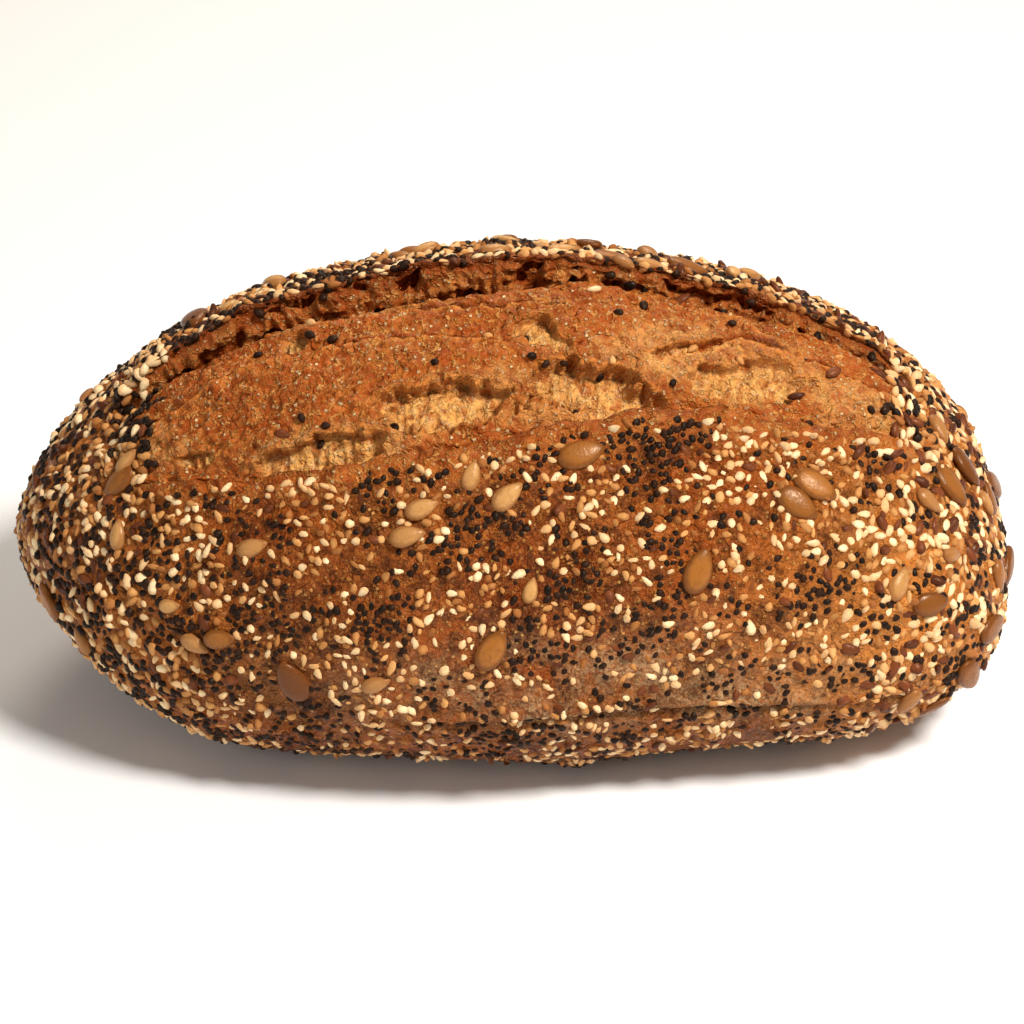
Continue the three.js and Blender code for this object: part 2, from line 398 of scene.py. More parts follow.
class Crust:
    """Every point of the finished crust: its place, what the oven did to it there, and the shade painted on
    it.
    """

    def __init__(self, dough, along, turn, is_bloom):
        self.dough, self.along, self.turn, self.is_bloom = dough, along, turn, is_bloom
        self.base = dough.skin(along, turn)
        self.outwards, self.round = dough.directions(along, turn)
        self.flat = np.stack([along * dough.length / 2, turn * dough.per_degree, 0 * along], -1)
        ear, lip, self.open = dough.score(along)
        self.past_ear = (turn - ear) * dough.per_degree
        self.past_lip = (turn - lip) * dough.per_degree
        self.in_bloom = (self.past_ear < 0) & (self.past_lip > 0)
        self.bloom = np.where(self.in_bloom, self.open, 0)
        self.out = dough.swell(along, turn)
        for name in ("forward", "hollow", "crumb", "rim", "curl"):
            setattr(self, name, np.zeros(len(along)))
        self.narrow = 1 - NARROWER_RIGHT * ramp(along, -0.1, 0.25)

    def wander(self, size, seed):
        """Noise that changes only along the loaf."""
        return lumps(self.flat, (size, NEVER, 1), seed)

    def mark(self, name, amount):
        """Raises one of the marks, the oven's or the painted shade, to at least amount."""
        setattr(self, name, np.maximum(getattr(self, name), amount))

    def overlap(self):
        """Sinks the crust under the bloom, and tucks the bloom's own edges under the crust."""
        before_ear = -self.past_ear
        joined = ramp(self.open, JOINS_FROM, JOINS_TO)
        if self.is_bloom:
            at_lip = 1 - ramp(self.past_lip, 0.2, TUCK)
            at_ear = 1 - ramp(before_ear, 0.3, 1.2)
            self.out -= TUCK * np.maximum(1 - joined, np.maximum(at_lip, 0.2 * at_ear))
            self.forward -= 0.5 * TUCK * at_ear
        else:
            under = joined * ramp(self.past_lip, 0.6, 2.4) * ramp(before_ear, 0, EAR_EDGE)
            self.out -= SUNK * under
            self.forward -= WALL_SUNK * under * fade(before_ear, 2 * GROOVE_WALL)

    def open_score(self):
        bridge = np.zeros(len(self.along))
        for along, width, fill in BRIDGES:
            bridge = np.maximum(bridge, fill * hill(self.along - along, width))
        depth = GROOVE_DEPTH * (1 - bridge) * (1 + 0.25 * self.wander(30, 11))
        lift = EAR_RAISED * (1 + 0.3 * self.wander(34, 12) + 0.15 * self.wander(7, 13))
        before_ear = np.maximum(-self.past_ear, 0)
        past_lip = np.maximum(self.past_lip, 0)
        floor = np.maximum(GROOVE_FLOOR * self.narrow, GROOVE_WALL)
        width = GROOVE_WIDTH * self.narrow
        raised = lerp(0.35, 1, ramp(self.along, -0.5, -0.2))
        raised = raised * (1 + 0.4 * self.wander(12, 14) + 0.25 * self.wander(4, 15))
        wall = np.clip(before_ear / GROOVE_WALL, 0, 1)
        rise = ramp(before_ear, floor, width)
        swelling = BLOOM_RISE * np.sin(np.pi * past_lip / np.maximum(past_lip + before_ear, 1)) * rise
        step = LIP_STEP * raised * (1 - ramp(past_lip, 0, LIP_STEP_WIDTH))
        swelling -= BLOOM_SAG * rise * fade(before_ear - floor, BLOOM_SAG_REACH)
        bloom = lerp(lift, swelling - step - depth * (1 - rise), wall)
        bloom = lerp(LIP_LIFT * raised, bloom, np.clip(past_lip / LIP_WALL, 0, 1))
        near_ear = fade(self.past_ear, EAR_REACH)
        near_lip = np.exp(np.minimum(self.past_lip, 0) / LIP_REACH)
        behind = self.past_ear >= 0
        out = np.where(behind, lift * near_ear, np.where(self.in_bloom, bloom, LIP_LIFT * raised * near_lip))
        forward = EAR_OVERHANG * np.where(behind, near_ear, np.clip(1 - before_ear / GROOVE_WALL, 0, 1))
        self.out += self.open * out
        self.forward += self.open * np.where(behind | self.in_bloom, forward, 0)
        self.forward -= self.open * raised * 1.2 * hill(self.past_lip, 1.5)
        # Painted shade down in the groove, less where crumb bridges it.
        groove = (1 - ramp(before_ear, GROOVE_WALL, width * 0.7)) * self.bloom
        self.mark("hollow", groove * (1 - 0.5 * bridge))
        edge = hill(self.past_ear, 1.4) + 0.4 * hill(self.past_lip, 1.1)
        self.mark("rim", edge * self.open)

    def tear_wall(self):
        """Strands, ledges and pits in the cut face under the ear, with shade painted into the pits and
        towards the wall's foot.
        """
        down = np.clip(-self.past_ear / GROOVE_WALL, 0, 1)
        face = np.stack([self.flat[:, 0], down * (EAR_LIFT + GROOVE_DEPTH), 0 * down], -1)
        floor = np.maximum(GROOVE_FLOOR * self.narrow, GROOVE_WALL + 0.5)
        on_wall = self.bloom * ramp(down, 0.05, 0.25) * (1 - ramp(-self.past_ear, GROOVE_WALL, floor))
        pits = ramp(lumps(face, (8, 5, 1), 16) + 0.35 * lumps(face, (3, 2, 1), 19) + 0.3 * down, 0.15, 0.45)
        strands = ridges(face, (3, 9, 1), 17)
        relief = 1.5 * strands + 1.2 * lumps(face, (6, 3, 1), 18) - 2.8 * pits
        self.forward += on_wall * relief * ramp(down, 0, 0.3)
        # Painted shade on the wall: darker towards its foot and in the pits, lighter on the strands.
        dark = 0.05 + 0.45 * ramp(down, 0.3, 0.85) + 0.45 * pits - 0.45 * strands
        self.hollow = np.where(on_wall > 0, np.clip(lerp(0.3, dark, on_wall), 0, 1) * self.bloom, self.hollow)
        self.crumb = np.where(on_wall > 0, 0.25 * on_wall * strands * (1 - pits), self.crumb)

    def tear_flaps(self):
        """Thin raised edges where the bloom's skin tore, each with shade painted just behind it and golden
        along its edge.
        """
        wobble = 1.8 * self.wander(11, 21) + 1.0 * self.wander(4, 22)
        wobble += 0.4 * self.wander(1.6, 23)
        for start, end, near, far, height in FLAPS:
            share = np.clip((self.along - start) / (end - start), 0, 1)
            strength = np.sin(np.pi * share) ** 0.5 * self.bloom
            past = -self.past_ear - lerp(near, far, share) - wobble
            raised = ramp(past, -0.5, 0.25) * (0.45 * fade(past, 1.6) + 0.55 * fade(past, 7))
            self.out += height * strength * raised
            self.forward -= 0.9 * height * strength * hill(past, 1.4)
            self.mark("curl", strength * hill(past - 0.1, 0.55))
            # Painted shade in the dip just behind each edge.
            behind = hill(np.minimum(past + 1, 0), 2.2) * (1 - ramp(past, -0.7, 0))
            self.mark("hollow", 0.75 * strength * behind)

    def tear_pockets(self):
        ragged = 0.42 * lumps(self.flat, 7, 31) + 0.26 * lumps(self.flat, 2.8, 32)
        ragged += 0.1 * lumps(self.flat, 1.2, 33)
        for along, turn, length, height, depth, slant in POCKETS:
            x, y = offsets(self, along, turn)
            cos, sin = math.cos(math.radians(slant)), math.sin(math.radians(slant))
            lengthwise = (x * cos - y * sin) / (length / 2)
            upwards = (x * sin + y * cos) / (height / 2)
            away = np.hypot(lengthwise, upwards) + ragged
            inside = (1 - ramp(away, 0.82, 1.0)) * self.bloom
            outside = ramp(away, 0.84, 1.0) * np.exp(-np.maximum(away - 1, 0) * height / 6) * self.bloom
            upper = np.clip(upwards, 0, 1)
            self.out += 1.1 * outside * upper - depth * inside * (0.7 + 0.3 * upper)
            self.forward += 1.6 * outside * upper * np.exp(-np.abs(away - 1) * height / 5)
            shallow = (1 - ramp(away, 0.7, 1.05)) * self.bloom
            self.mark("crumb", shallow * (1 - 0.25 * upper))
            # Painted shade under each pocket's upper edge.
            self.mark("hollow", inside * 0.24 * ramp(upwards, 0.5, 1.0))
            edge = outside * np.exp(-(((away - 1.0) * height / 1.1) ** 2))
            self.mark("curl", edge * (0.35 + 0.5 * upper))
            beyond = outside * np.exp(-(((away - 1.18) * height / 2.6) ** 2))
            self.mark("rim", 0.55 * beyond * upper)

    def stretch(self):
        """Paler zones where the bloom's skin was pulled thin."""
        ragged = 0.5 * lumps(self.flat, (9, 6, 1), 36) + 0.3 * lumps(self.flat, 3, 37)
        for along, turn, length, height, share in STRETCHED:
            x, y = offsets(self, along, turn)
            zone = 1 - ramp(np.hypot(2 * x / length, 2 * y / height) + ragged, 0.4, 1.3)
            self.mark("crumb", share * zone * self.bloom)

    def roughen(self):
        """The bloom's torn skin, and the blisters and lumps of the crust round it."""
        crust = 1 - self.bloom
        wrinkles = 1.1 * ridges(self.flat, (9, 5, 1), 41) + 0.9 * ridges(self.flat, (3.6, 2.4, 1), 42)
        grain = 0.6 * lumps(self.flat, (1.7, 1.3, 1), 44)
        skin = 1.7 * lumps(self.flat, (24, 13, 1), 43) + wrinkles + grain
        stretched = ridges(self.flat, (2.2, 9, 1), 45)
        strands = stretched + 0.7 * lumps(self.flat, (3, 3, 1), 46)
        # In the torn crumb crest is high between the strands, and there the material darkens it as painted
        # shade.
        self.crest = lerp(np.clip(wrinkles / 1.7 + 0.5 * grain, 0, 1), 1 - stretched, self.crumb)
        self.out += self.bloom * lerp(skin - 0.6, 1.2 * strands - 0.4, self.crumb)
        dough = 0.9 * lumps(self.base, 34, 47) + 0.5 * lumps(self.base, 12, 48)
        blisters = np.maximum(lumps(self.base, 5.5, 49) - 0.08, 0) * 1.8 + 0.4 * lumps(self.base, 2.6, 50)
        bubbles = 0.6 * ridges(self.base, 3.6, 56)
        self.out += crust * (dough + blisters + bubbles) * (1 - self.along**8)
        at_lip = hill(self.past_lip + 1.5, 3.5) * self.open
        knobs = 1.1 * ridges(self.flat, (4.5, 3, 1), 57) + 0.7 * lumps(self.flat, (2.2, 1.8, 1), 58)
        self.out += at_lip * knobs
        near_lip = hill(self.past_lip + 2, 5) * self.open
        pale_ends = 0.55 * ramp(self.along, 0.3, 0.75) + 0.25 * ramp(-self.along, 0.55, 0.9)
        self.mark("bloom", 0.8 * near_lip)
        deep = 0.85 - 0.2 * near_lip - pale_ends
        self.bake = np.clip(deep + 0.35 * lumps(self.base, 45, 55), 0, 1)

    def fold(self):
        wander = 2.5 * self.wander(40, 51) + 0.8 * self.wander(11, 52)
        share = np.clip((self.along - FOLD_START) / (FOLD_END - FOLD_START), 0, 1)
        strength = np.sin(np.pi * share) ** 0.6
        past = (self.turn - FOLD_TURN - wander) * self.dough.per_degree
        welt = 0.7 * hill(past - 3, 3.2) - hill(past, 1.5) + 0.4 * hill(past + 3, 2.4)
        self.out += strength * FOLD_DEPTH * welt
        self.fold_line = strength * hill(past, 1.6)
        floury = hill(self.along - 0.2, 0.5) * hill(self.turn + 93, 12)
        under = np.abs(self.turn) - SOLE_SHRINKS * self.along**6
        self.sole = ramp(under, 112, 135)
        patchy = 0.55 + 0.9 * lumps(self.base, 13, 53) + 0.5 * lumps(self.base, 3.5, 54)
        self.flour = np.clip(patchy, 0, 1) * np.clip(1.3 * floury + 0.75 * ramp(under, 118, 140), 0, 1)

    def places(self):
        """Where each point ends up, in metres, standing on its flat underside."""
        self.open_score()
        if self.is_bloom:
            self.tear_wall()
        self.tear_flaps()
        self.tear_pockets()
        self.stretch()
        self.roughen()
        self.fold()
        self.overlap()
        moved = self.base + self.outwards * self.out[:, None] - self.round * self.forward[:, None]
        pits = 0.35 * (0.5 + 0.5 * lumps(self.base, 4, 61)) * ramp(-moved[:, 2], 0.5, 3)
        moved[:, 2] = np.maximum(moved[:, 2], 0) + pits
        return moved * MM


# Meshes and attributes


def new_object(name, bm, smooth=True):
    mesh = bpy.data.meshes.new(name)
    bm.to_mesh(mesh)
    bm.free()
    if smooth:
        mesh.shade_smooth()
    piece = bpy.data.objects.new(name, mesh)
    bpy.context.scene.collection.objects.link(piece)
    return piece


def write_attribute(mesh, name, values):
    attribute = mesh.attributes.new(name, "FLOAT", "POINT")
    attribute.data.foreach_set("value", np.asarray(values, np.float32))


def put_faces_in_order(bm):
    """Sorts the faces, which come in a different order on each run, so that the seeds fall the same way."""
    bm.verts.index_update()
    count = len(bm.verts)

    def rank(face):
        first, second, third = sorted(v.index for v in face.verts)[:3]
        return (first * count + second) * count + third

    bm.faces.sort(key=rank)
    bm.faces.index_update()


def read_points(mesh, kind="co"):
    values = np.zeros(len(mesh.vertices) * 3, np.float32)
    (mesh.vertices if kind == "co" else mesh.vertex_normals).foreach_get(
        "co" if kind == "co" else "vector", values
    )
    return values.reshape(-1, 3).astype(float)


def bake_crust(sizes):
    """A ball with its poles at the tips, its points moved to the crust. Returns the piece and its Crust."""
    bm = bmesh.new()
    bmesh.ops.create_uvsphere(bm, u_segments=STEPS_ROUND, v_segments=RINGS, radius=1)
    ball = np.array([v.co for v in bm.verts])
    ring = np.arccos(np.clip(ball[:, 2], -1, 1)) / np.pi
    step = np.rint(np.arctan2(ball[:, 1], ball[:, 0]) / (2 * np.pi) * STEPS_ROUND) % STEPS_ROUND
    dough = Dough(sizes)
    along = dough.rings(ring)
    crust = Crust(dough, along, dough.turns(along, step), False)
    for vertex, place in zip(bm.verts, crust.places()):
        vertex.co = place
    return turn_out("crust", bm, crust)


def lay_bloom(sizes):
    """The skin that opened under the score: a fine sheet with its rim turned down and closed below."""
    bm = bmesh.new()
    bmesh.ops.create_grid(bm, x_segments=BLOOM_LENGTHWISE, y_segments=BLOOM_ACROSS, size=1)
    sheet = np.array([v.co for v in bm.verts])
    dough = Dough(sizes)
    ends = dough.walked(np.array([SCORE_START, SCORE_END]))
    along = dough.rings(lerp(ends[0], ends[1], (sheet[:, 0] + 1) / 2))
    ear, lip, _ = dough.score(along)
    across = (sheet[:, 1] + 1) / 2
    from_lip = lip + 0.1 / dough.per_degree
    foot = ear - GROOVE_WALL / dough.per_degree
    to_ear = ear - 0.3 / dough.per_degree
    turn = lerp(from_lip, foot, np.minimum(across / WALL_FROM, 1))
    turn += (to_ear - foot) * np.maximum((across - WALL_FROM) / (1 - WALL_FROM), 0)
    crust = Crust(dough, along, turn, True)
    for vertex, place in zip(bm.verts, crust.places()):
        vertex.co = place
    rim = [e for e in bm.edges if e.is_boundary]
    turned_in = bmesh.ops.extrude_edge_only(bm, edges=rim)["geom"]
    for vertex in (g for g in turned_in if isinstance(g, bmesh.types.BMVert)):
        vertex.co += Vector(SKIRT) * MM
    below = [g for g in turned_in if isinstance(g, bmesh.types.BMEdge)]
    bmesh.ops.edgeloop_fill(bm, edges=below)
    bmesh.ops.triangulate(bm, faces=[f for f in bm.faces if len(f.verts) > 4])
    return turn_out("bloom", bm, crust)


def turn_out(name, bm, crust):
    """The finished piece and its Crust. Points added round the rim take zero for every mark."""
    bmesh.ops.recalc_face_normals(bm, faces=bm.faces)
    put_faces_in_order(bm)
    piece = new_object(name, bm)
    for mark in MARKS:
        values = np.zeros(len(piece.data.vertices))
        values[: len(crust.along)] = getattr(crust, mark)
        write_attribute(piece.data, mark, values)
    return piece, crust


# Materials


class Finish:
    """A material and the few kinds of node it is built from."""

    def __init__(self, name, roughness, specular=0.5, tint=(1, 1, 1)):
        self.material = bpy.data.materials.new(name)
        self.material.use_nodes = True
        self.tree = self.material.node_tree
        self.shader = self.tree.nodes["Principled BSDF"]
        shine = {"Roughness": roughness, "Specular IOR Level": specular, "Specular Tint": (*tint, 1)}
        for socket, value in shine.items():
            self.shader.inputs[socket].default_value = value
        self.place = self.node("ShaderNodeTexCoord").outputs["Object"]

    def node(self, kind, inputs=None, **settings):
        made = self.tree.nodes.new(kind)
        for key, value in settings.items():
            setattr(made, key, value)
        for key, value in (inputs or {}).items():
            self.set(made.inputs[key], value)
        return made

    def set(self, socket, value):
        if isinstance(value, bpy.types.NodeSocket):
            self.tree.links.new(value, socket)
        elif hasattr(value, "__len__") and len(value) == 3 and socket.type == "RGBA":
            socket.default_value = (*value, 1)
        else:
            socket.default_value = value

    def attribute(self, name):
        return self.node("ShaderNodeAttribute", attribute_name=name).outputs["Fac"]

    def noise(self, size, detail=3, roughness=0.55):
        """Cloudy noise whose lumps are size metres across."""
        inputs = {"Vector": self.place, "Scale": 1 / size, "Detail": detail, "Roughness": roughness}
        return self.node("ShaderNodeTexNoise", inputs).outputs["Fac"]

    def cells(self, size):
        """The distance from the middle of a cell, the cells size metres across."""
        inputs = {"Vector": self.place, "Scale": 1 / size}
        return self.node("ShaderNodeTexVoronoi", inputs).outputs["Distance"]

    def threads(self, size, width, gap):
        """Thin, short, wandering lines: the level line of one noise, broken up by another."""
        level = self.sums("ABSOLUTE", self.sums("SUBTRACT", self.noise(size, 2, 0.6), 0.5))
        line = self.between(level, 0, width, 1, 0)
        return self.times(line, self.between(self.noise(gap, 2), 0.44, 0.54))

    def sums(self, operation, first, second=0.0):
        return self.node("ShaderNodeMath", {0: first, 1: second}, operation=operation).outputs[0]

    def times(self, first, second):
        return self.sums("MULTIPLY", first, second)

    def between(self, value, low, high, to_low=0.0, to_high=1.0):
        inputs = {"Value": value, "From Min": low, "From Max": high, "To Min": to_low, "To Max": to_high}
        return self.node("ShaderNodeMapRange", inputs, interpolation_type="SMOOTHSTEP").outputs[0]

    def layers(self, colour, *coats):
        """A colour under coats of other colours, each coat a pair: its share and its colour."""
        for share, coat in coats:
            made = self.node("ShaderNodeMix", data_type="RGBA")
            sockets = [s for s in made.inputs if s.type == "RGBA"]
            for socket, value in zip((made.inputs[0], *sockets), (share, colour, coat)):
                self.set(socket, value)
            colour = [s for s in made.outputs if s.type == "RGBA"][0]
        return colour

    def bump(self, height, distance, strength=1.0, under=None):
        inputs = {"Height": height, "Distance": distance, "Strength": strength}
        if under is not None:
            inputs["Normal"] = under
        return self.node("ShaderNodeBump", inputs).outputs["Normal"]

    def finish(self, colour, roughness=None, normal=None):
        for socket, value in {"Base Color": colour, "Roughness": roughness, "Normal": normal}.items():
            if value is not None:
                self.set(self.shader.inputs[socket], value)
        return self.material


def crust_finish(look):
    f = Finish("baked crust", 0.5, 0.3, (1, 0.7, 0.42))
    bloom, hollow, crumb, rim, curl, flour, fold_line, bake, crest, sole = (f.attribute(m) for m in MARKS)

    broad = f.noise(0.045, 3)
    patches = f.noise(0.012, 4, 0.6)
    mottle = f.noise(0.0035, 4, 0.65)
    grit = f.noise(0.0011, 3, 0.6)
    blister = f.cells(0.0028)
    curls = f.threads(0.0034, 0.055, 0.0016)
    fine_curls = f.threads(0.002, 0.05, 0.0028)
    creases = f.threads(0.007, 0.05, 0.01)
    # Small bright spots painted on the skin and the crust as glints.
    painted_glints = f.times(f.between(f.cells(0.0022), 0.16, 0.26, 1, 0), f.between(grit, 0.4, 0.55, 0.35, 1))

    dark = f.between(bake, 0, 0.6, 0.25, 1)
    baked = f.layers(
        look.golden,
        (bake, look.baked),
        (f.times(dark, f.between(broad, 0.45, 0.7, 0, 0.5)), look.browned),
        (f.times(dark, f.between(patches, 0.48, 0.72, 0, 0.8)), look.browned),
        (f.times(dark, f.between(mottle, 0.44, 0.64, 0, 0.8)), look.browned),
        (f.between(grit, 0.56, 0.7, 0, 0.3), look.golden),
        (f.between(blister, 0.0, 0.3, 0.2, 0), look.golden),
        (f.times(fine_curls, 0.4), look.golden),
        # Painted glints on the crust.
        (f.times(painted_glints, 0.6), look.crumb),
    )
    skin = f.layers(
        look.bloom,
        (f.between(patches, 0.4, 0.64, 0, 0.7), GLAZED),
        (f.between(mottle, 0.38, 0.56, 0.45, 0), look.golden),
        # Painted shade in the creases of the skin.
        (f.times(creases, 0.3), GLAZED),
        (f.times(crest, 0.3), look.bloom),
        (f.times(fine_curls, 0.6), look.golden),
        (f.times(curls, 0.65), look.crumb),
        # Painted glints on the bloom's skin.
        (f.times(painted_glints, 0.9), PALEST),
    )
    torn = f.layers(
        look.crumb,
        (f.between(mottle, 0.46, 0.66, 0, 0.85), look.bloom),
        # Painted shade between the crumb's strands.
        (f.between(crest, 0.4, 1, 0, 0.4), look.baked),
        (f.times(fine_curls, 0.6), PALEST),
    )
    shade = f.layers(
        look.baked,
        (f.between(mottle, 0.4, 0.62, 0, 0.6), look.bloom),
        (f.times(fine_curls, 0.25), look.golden),
    )
    colour = f.layers(
        baked,
        (bloom, skin),
        (crumb, torn),
        # Painted shade in the hollows, and the deepest painted shade in the tears and the groove.
        (f.between(hollow, 0.05, 0.5), shade),
        (f.between(hollow, 0.4, 0.95, 0, 0.95), DEEP_SHADE),
        (f.times(rim, 0.7), GLAZED),
        (f.times(curl, 0.8), look.golden),
        (f.times(sole, 0.5), look.browned),
        (f.times(fold_line, 0.7), look.browned),
        (f.times(flour, f.between(grit, 0.38, 0.6, 0.15, 0.85)), look.flour),
    )

    gloss = f.between(f.sums("ADD", mottle, f.times(flour, 0.5)), 0.35, 0.75, 0.22, 0.52)
    height = f.sums("ADD", f.times(mottle, 0.55), f.times(grit, 0.25))
    raised = f.sums("ADD", f.times(curls, 0.16), f.times(fine_curls, 0.08))
    raised = f.sums("ADD", raised, f.times(painted_glints, 0.22))
    height = f.sums("ADD", height, f.sums("SUBTRACT", raised, f.times(creases, 0.18)))
    blisters = f.bump(f.between(blister, 0.0, 0.5, 1, 0), 0.0004, 0.6)
    normal = f.bump(height, 0.0026, 1.0, blisters)
    return f.finish(colour, gloss, normal)


# How a kind of seed shines: its roughness, how much painted shade darkens its edges, and its specular level.
DULL = (0.48, 0.35, 0.18)
SLEEK = (0.34, 0.35, 0.18)
POLISHED = (0.3, 0.6, 0.3)


def seed_finish(name, colour, darker, roughness, edged, specular):
    """Each seed has its own tone and mottling, and painted shade darkens it towards its tips and edges."""
    f = Finish(name, roughness, specular, (1, 0.8, 0.6))
    tone = f.attribute("tone")
    tip = f.attribute("tip")
    mottle = f.noise(0.0012, 3)
    # Tone and mottle are the seed's own colour; the tip and edge shares are painted shade.
    tone_and_shade = (
        tone, f.between(mottle, 0.45, 0.7, 0, 0.35), f.times(tip, 0.5),
        f.between(f.attribute("edge"), 0.62, 0.85, 0, edged),
    )
    base = f.layers(colour, *((share, darker) for share in tone_and_shade))
    height = f.noise(0.0006, 2)
    gloss = f.between(mottle, 0.3, 0.7, roughness - 0.08, roughness + 0.12)
    return f.finish(base, gloss, f.bump(height, 0.0002, 0.5))


# Seeds

# Each kind: length, width and thickness in millimetres, and how pointed.
SMALL_SEEDS = {
    "sesame_pale": (3.5, 2.15, 1.4, 0.4),
    "sesame_toasted": (3.4, 2.1, 1.35, 0.4),
    "sesame_black": (2.6, 2.0, 1.6, 0.2),
    "flax": (5.0, 2.7, 1.8, 0.2),
}
LARGE_SEEDS = {
    "sunflower": (8.8, 4.8, 3.2, 0.36),
    "pumpkin": (12.2, 7.2, 3.6, 0.22),
}

COARSE, FINE = 4, 10  # how finely a seed is cut up
RIMMED = {"pumpkin": 0.12, "sesame_pale": 0.12, "sesame_toasted": 0.12}  # how much thinner inside the rim

# Large seeds placed one by one: along, turn and the way they point in degrees.
PLACED = {
    "pumpkin": (
        (0.1, -46, 15), (0.51, -52, -35), (0.545, -47, -30), (0.76, -72, 5), (-0.07, -82, 60),
        (-0.57, -82, 10), (0.91, -84, 10), (0.31, -67, 70), (0.88, -30, -40), (0.83, -38, -45),
        (0.2, 5, 0), (0.35, 7, -8),
    ),
    "sunflower": (
        (-0.1, -50, 70), (-0.03, -54, 40), (0.0, -71, 75), (-0.62, -86, -20), (-0.5, -60, 15),
        (0.78, -45, -30), (0.93, -66, -70), (0.92, -38, -60), (0.82, -58, 5), (-0.19, -55, 20),
        (-0.22, -60, 10), (0.27, 4, 5), (-0.74, -34, 30), (-0.66, -76, 10), (0.1, 7, 5), (-0.02, 5, 0),
        (-0.76, -56, 80), (0.7, -66, 60),
    ),
}
MORE_LARGE = 84  # scattered besides those listed
TRIES = 150000
CELL = 2.5  # of the grid that finds a seed's neighbours, in millimetres
LARGE_FROM = 6.0  # the length from which a seed lies flat and sunk
MOST_SEEDS = 3000
SIZE_SPREAD = 0.11
SIZE_LIMITS = (0.7, 1.3)
TILT = 0.24
TILT_LARGE = 0.07
PROUD = (0.15, 0.42)  # how far a seed's middle stands off the crust, as a share of its thickness
PROUD_LARGE = 0.45
CLEAR_OF_GROUND = 1.15  # how far a seed's middle stays above the ground, as a share of its reach down
ELBOW_ROOM = 0.335  # the reach a seed keeps clear, as a share of its mean size


def seed_shape(name, length, width, thickness, pointed, fineness, rimmed):
    """One seed, lying along X with its broad side up."""
    bm = bmesh.new()
    bmesh.ops.create_uvsphere(bm, u_segments=fineness * 2, v_segments=fineness + 1, radius=0.5)
    bmesh.ops.rotate(bm, verts=bm.verts, matrix=Matrix.Rotation(math.pi / 2, 3, "Y"))
    bmesh.ops.scale(bm, verts=bm.verts, vec=Vector((length, width, thickness)) * MM)
    for vertex in bm.verts:
        share = 2 * vertex.co.x / (length * MM)
        edge = math.hypot(share, 2 * vertex.co.y / (width * MM))
        vertex.co.z *= (1 - 0.6 * pointed * share) * (1 - rimmed * (1 - ramp(edge, 0.5, 0.86)))
        vertex.co.y *= 1 - pointed * share - 0.12 * share**2
    put_faces_in_order(bm)
    mesh = bpy.data.meshes.new(name + "_shape")
    bm.to_mesh(mesh)
    bm.free()
    return mesh


